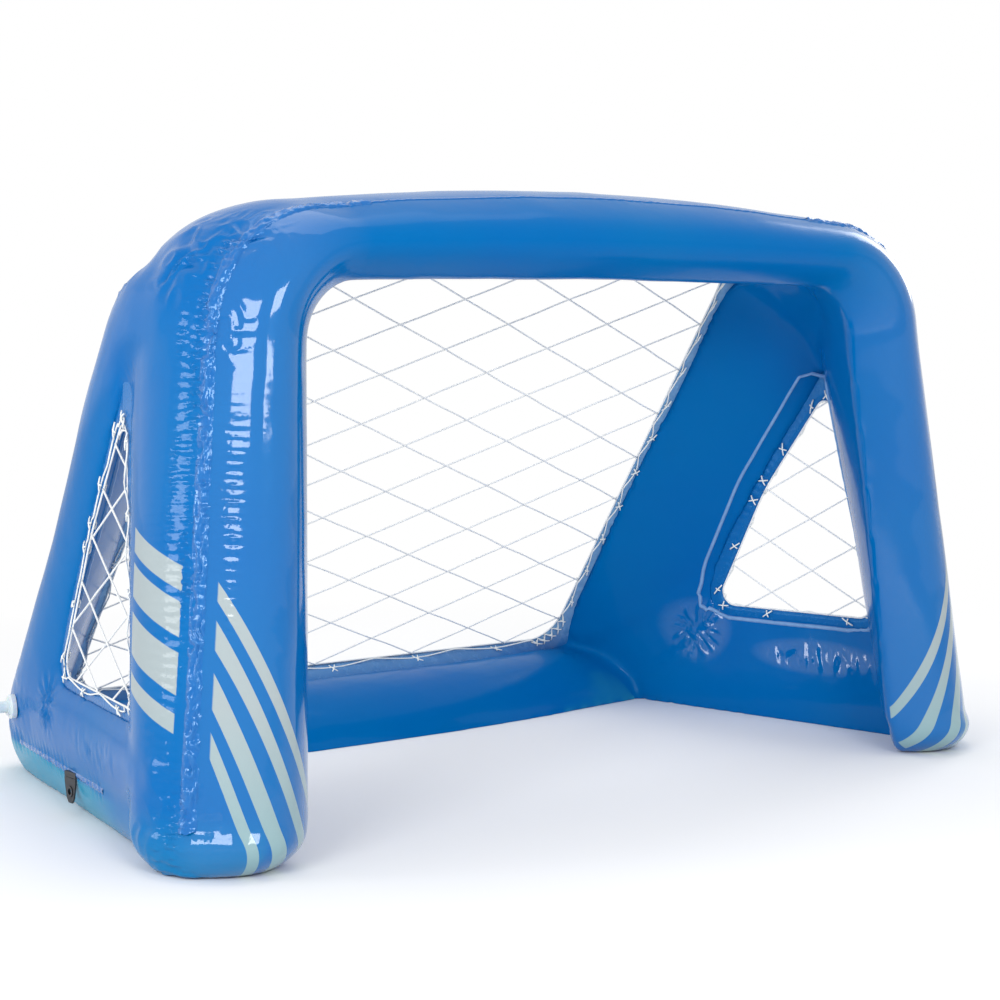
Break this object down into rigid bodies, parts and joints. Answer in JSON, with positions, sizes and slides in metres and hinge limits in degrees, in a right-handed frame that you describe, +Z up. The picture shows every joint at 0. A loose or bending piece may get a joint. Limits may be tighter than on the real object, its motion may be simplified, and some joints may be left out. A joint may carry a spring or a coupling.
{
  "type": "inflatable water polo goal",
  "caption": "Inflatable pool goal: an arched front frame of blue film tubes with sloping sides, a floor frame and laced diamond nets at the back and both sides.",
  "frame": {"origin": "on the ground under the middle of the bounding box", "axes": "+X to the right seen from the front, +Y to the back where the rear net slopes, +Z up; the mouth faces -Y"},
  "size_m": [1.3982, 0.7984, 0.8114],
  "materials": {
    "film": "glossy soft film in strong blue, printed with pale diagonal stripes near the feet",
    "weld": "puckered heat-welded film, paler where it stretches",
    "cord": "off-white braided cord",
    "valve": "milky soft plastic",
    "tab": "black flexible tab",
    "eyelet": "black moulded eyelet"
  },
  "bodies": {
    "goal": {"crossbar": "film", "rear_tube": "film", "bar_seam": "weld", "rear_hem_head": "weld", "rear_hem_foot": "weld", "rear_hem_l": "weld", "rear_hem_r": "weld", "rear_net": "cord", "rear_lacing": "cord", "top_corner_l": "film", "top_corner_r": "film", "shoulder_l": "film", "shoulder_r": "film", "post_l": "film", "post_r": "film", "diagonal_l": "film", "diagonal_r": "film", "foot_l": "film", "foot_r": "film", "floor_tube_l": "film", "floor_tube_r": "film", "rear_corner_l": "film", "rear_corner_r": "film", "front_seam_l": "weld", "front_seam_r": "weld", "slope_seam_l": "weld", "slope_seam_r": "weld", "floor_seam_l": "weld", "floor_seam_r": "weld", "side_hem_l": "weld", "side_hem_r": "weld", "side_net_l": "cord", "side_net_r": "cord", "side_lacing_l": "cord", "side_lacing_r": "cord", "valve_flange_l": "valve", "valve_flange_r": "valve", "mooring_lug_l": "tab", "mooring_lug_r": "tab"},
    "stem_l": {"valve_stem_l": "valve"},
    "plug_l": {"valve_plug_l": "valve"},
    "tab_l": {"mooring_tab_l": "tab", "mooring_rim_l": "eyelet"},
    "stem_r": {"valve_stem_r": "valve"},
    "plug_r": {"valve_plug_r": "valve"},
    "tab_r": {"mooring_tab_r": "tab", "mooring_rim_r": "eyelet"}
  },
  "joints": [
    {"name": "stem_push_l", "type": "slide", "parent": "goal", "child": "stem_l", "axis": [0.9842, -0.1772, 0], "range_m": [0, 0.014]},
    {"name": "plug_pull_l", "type": "slide", "parent": "stem_l", "child": "plug_l", "axis": [-0.9842, 0.1772, 0], "range_m": [0, 0.012]},
    {"name": "tab_swing_l", "type": "hinge", "parent": "goal", "child": "tab_l", "pos_m": [-0.62067, 0.0485, 0.0493], "axis": [0, 1, 0], "range_deg": [0, 80]},
    {"name": "stem_push_r", "type": "slide", "parent": "goal", "child": "stem_r", "axis": [-0.9842, -0.1772, 0], "range_m": [0, 0.014]},
    {"name": "plug_pull_r", "type": "slide", "parent": "stem_r", "child": "plug_r", "axis": [0.9842, 0.1772, 0], "range_m": [0, 0.012]},
    {"name": "tab_swing_r", "type": "hinge", "parent": "goal", "child": "tab_r", "pos_m": [0.62067, 0.0485, 0.0493], "axis": [0, -1, 0], "range_deg": [0, 80]}
  ]
}
